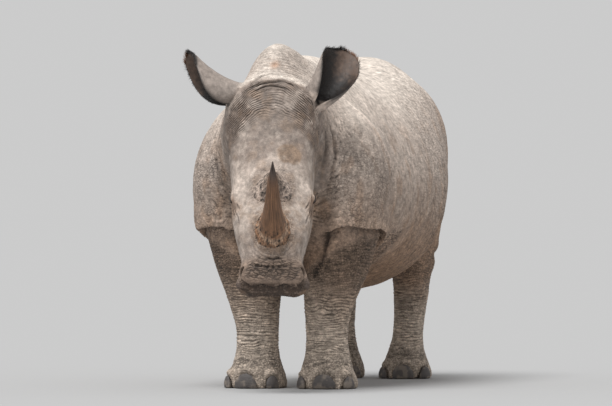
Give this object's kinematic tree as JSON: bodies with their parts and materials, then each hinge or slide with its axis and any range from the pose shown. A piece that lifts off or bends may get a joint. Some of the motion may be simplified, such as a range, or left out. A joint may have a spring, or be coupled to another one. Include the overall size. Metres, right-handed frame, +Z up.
{
  "type": "white rhinoceros model",
  "caption": "Still, life-size model of a standing white rhinoceros with its head lowered and turned slightly to its left.",
  "frame": {"origin": "on the floor, under the middle of the model's bounding box", "axes": "+Z up; the animal faces -Y, and its left side is +X"},
  "size_m": [1.1016, 3.3316, 1.7059],
  "materials": {
    "hide": "dry, dusty, deeply wrinkled hide",
    "horn": "fibrous keratin, smooth towards the tip",
    "nails": "dull horny nail",
    "eyes": "wet, glossy"
  },
  "bodies": {
    "root": {"head": "hide", "neck": "hide", "trunk": "hide", "tail": "hide", "leg_front_left": "hide", "foot_front_left": "hide", "leg_front_right": "hide", "foot_front_right": "hide", "leg_hind_left": "hide", "foot_hind_left": "hide", "leg_hind_right": "hide", "foot_hind_right": "hide", "ear_left": "hide", "eye_left": "eyes", "ear_right": "hide", "eye_right": "eyes", "horn_front": "horn", "horn_rear": "horn", "nail_front_left_front": "nails", "nail_front_left_outer": "nails", "nail_front_left_inner": "nails", "nail_front_right_front": "nails", "nail_front_right_outer": "nails", "nail_front_right_inner": "nails", "nail_hind_left_front": "nails", "nail_hind_left_outer": "nails", "nail_hind_left_inner": "nails", "nail_hind_right_front": "nails", "nail_hind_right_outer": "nails", "nail_hind_right_inner": "nails"}
  },
  "joints": []
}
